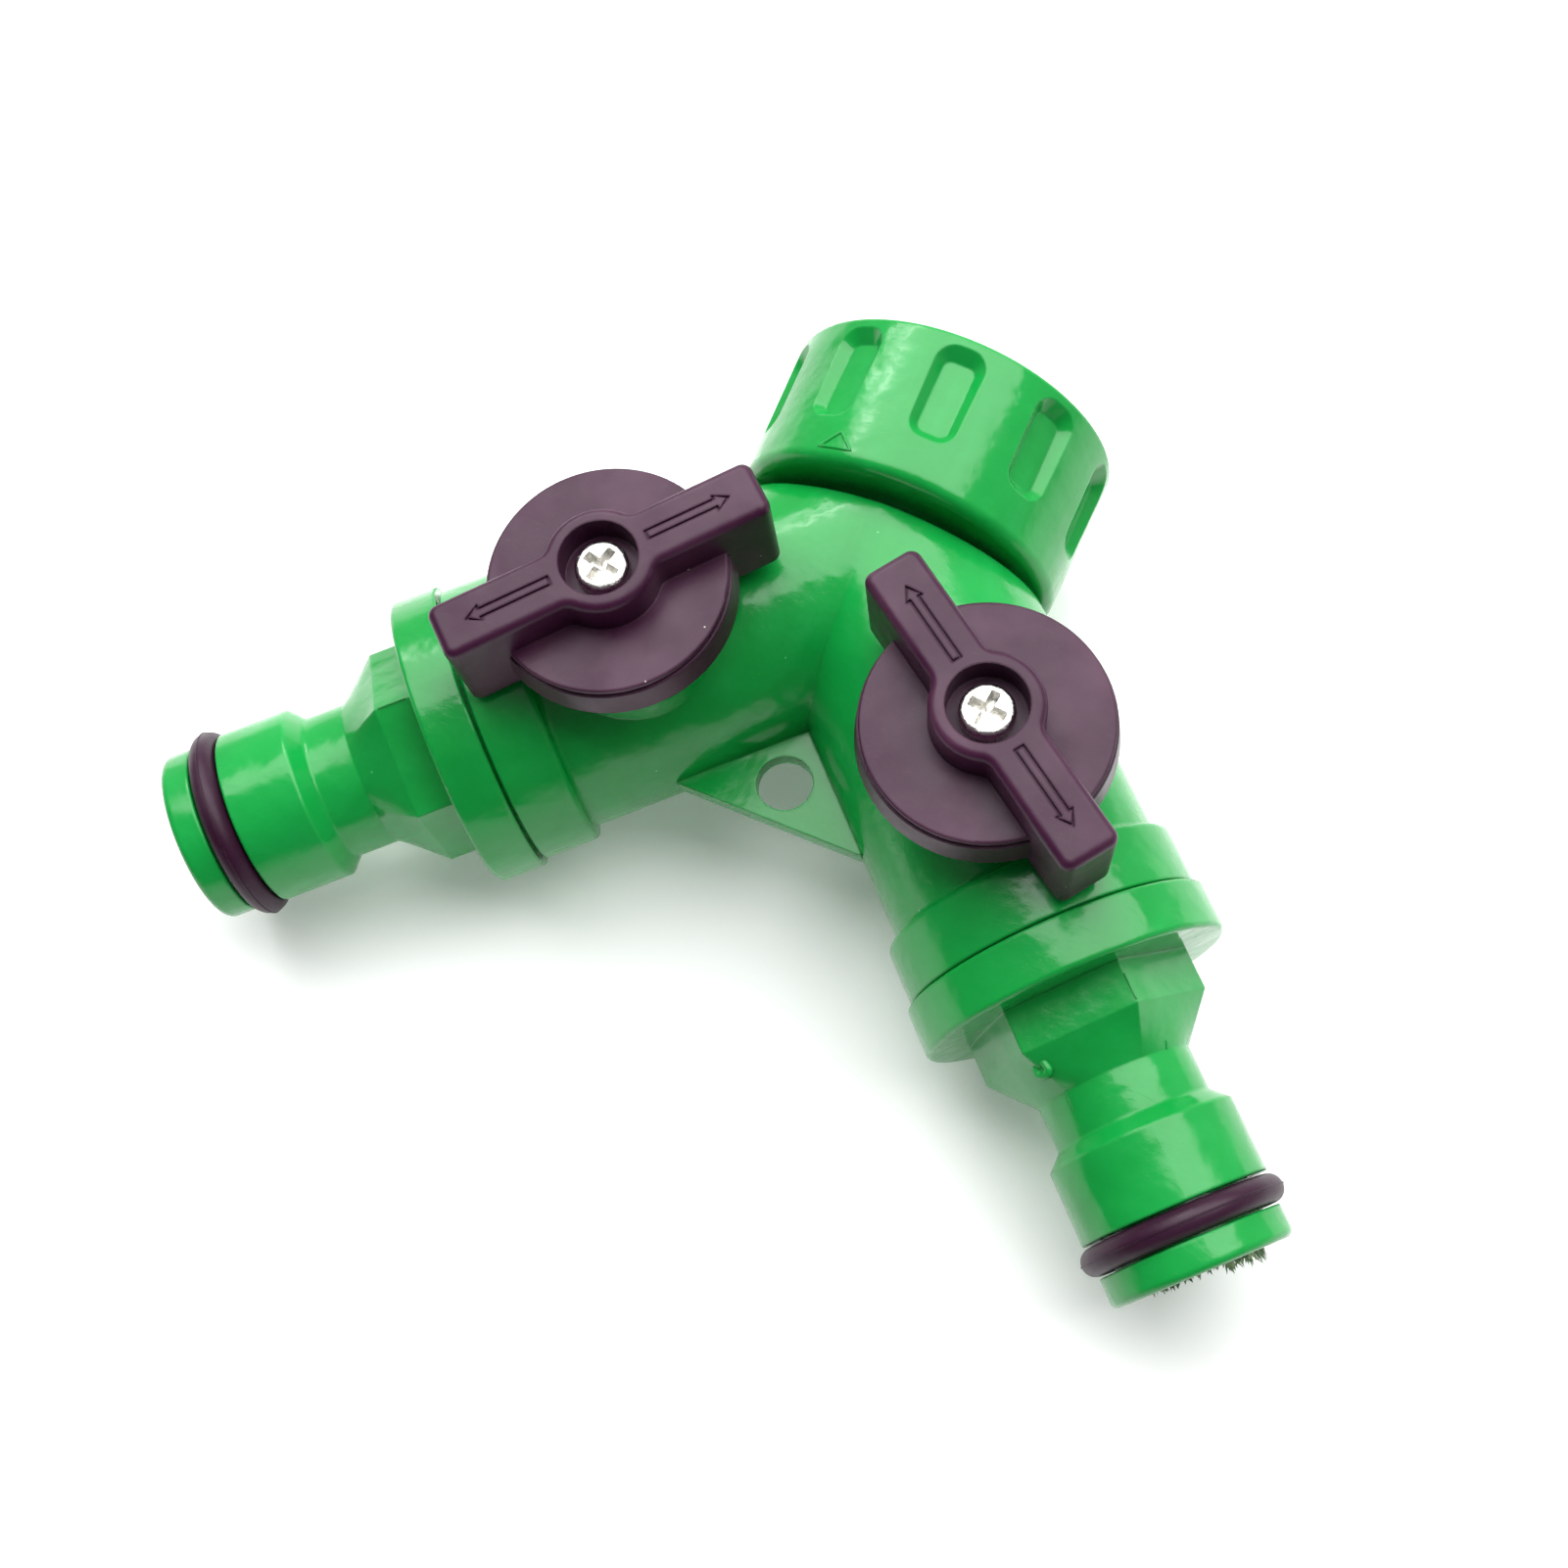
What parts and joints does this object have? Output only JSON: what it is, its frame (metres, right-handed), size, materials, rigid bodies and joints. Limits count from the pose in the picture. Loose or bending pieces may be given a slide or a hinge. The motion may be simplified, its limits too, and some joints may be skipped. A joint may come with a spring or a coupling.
{
  "type": "hose splitter",
  "caption": "Y-shaped garden hose splitter with a threaded coupling nut on the inlet, a quarter-turn ball valve on each branch and push-fit hose noses.",
  "frame": {"origin": "centre of the inlet washer's sealing face, on the inlet axis", "axes": "+Y out of the inlet nut along its axis, +Z along the valve stems towards the handles, X from the left branch to the right branch"},
  "size_m": [0.1134, 0.0743, 0.0418],
  "materials": {
    "green_plastic": "glossy moulded",
    "dark_plastic": "satin moulded",
    "seal_rubber": "smooth",
    "zinc_steel": "bright zinc plated",
    "seat_plastic": "smooth",
    "white_plastic": "smooth"
  },
  "bodies": {
    "casing": {"body": "green_plastic", "inlet_washer": "seal_rubber", "left_outlet_connector": "green_plastic", "left_nose_o_ring": "seal_rubber", "left_joint_seal": "seal_rubber", "left_inner_seat": "seat_plastic", "left_outer_seat": "seat_plastic", "right_outlet_connector": "green_plastic", "right_nose_o_ring": "seal_rubber", "right_joint_seal": "seal_rubber", "right_inner_seat": "seat_plastic", "right_outer_seat": "seat_plastic"},
    "nut": {"coupling_nut": "green_plastic"},
    "left_valve": {"left_ball": "white_plastic", "left_stem": "white_plastic", "left_lower_stem_seal": "seal_rubber", "left_upper_stem_seal": "seal_rubber", "left_handle": "dark_plastic", "left_handle_screw": "zinc_steel"},
    "right_valve": {"right_ball": "white_plastic", "right_stem": "white_plastic", "right_lower_stem_seal": "seal_rubber", "right_upper_stem_seal": "seal_rubber", "right_handle": "dark_plastic", "right_handle_screw": "zinc_steel"}
  },
  "joints": [
    {"name": "nut_spin", "type": "hinge", "parent": "casing", "child": "nut", "pos_m": [0, 0, 0], "axis": [0, 1, 0], "continuous": true},
    {"name": "left_valve_turn", "type": "hinge", "parent": "casing", "child": "left_valve", "pos_m": [-0.01779, -0.02732, 0.02], "axis": [0, 0, 1], "range_deg": [-4.7, 85.3]},
    {"name": "right_valve_turn", "type": "hinge", "parent": "casing", "child": "right_valve", "pos_m": [0.01779, -0.02732, 0.02], "axis": [0, 0, 1], "range_deg": [-9.3, 80.7]}
  ]
}
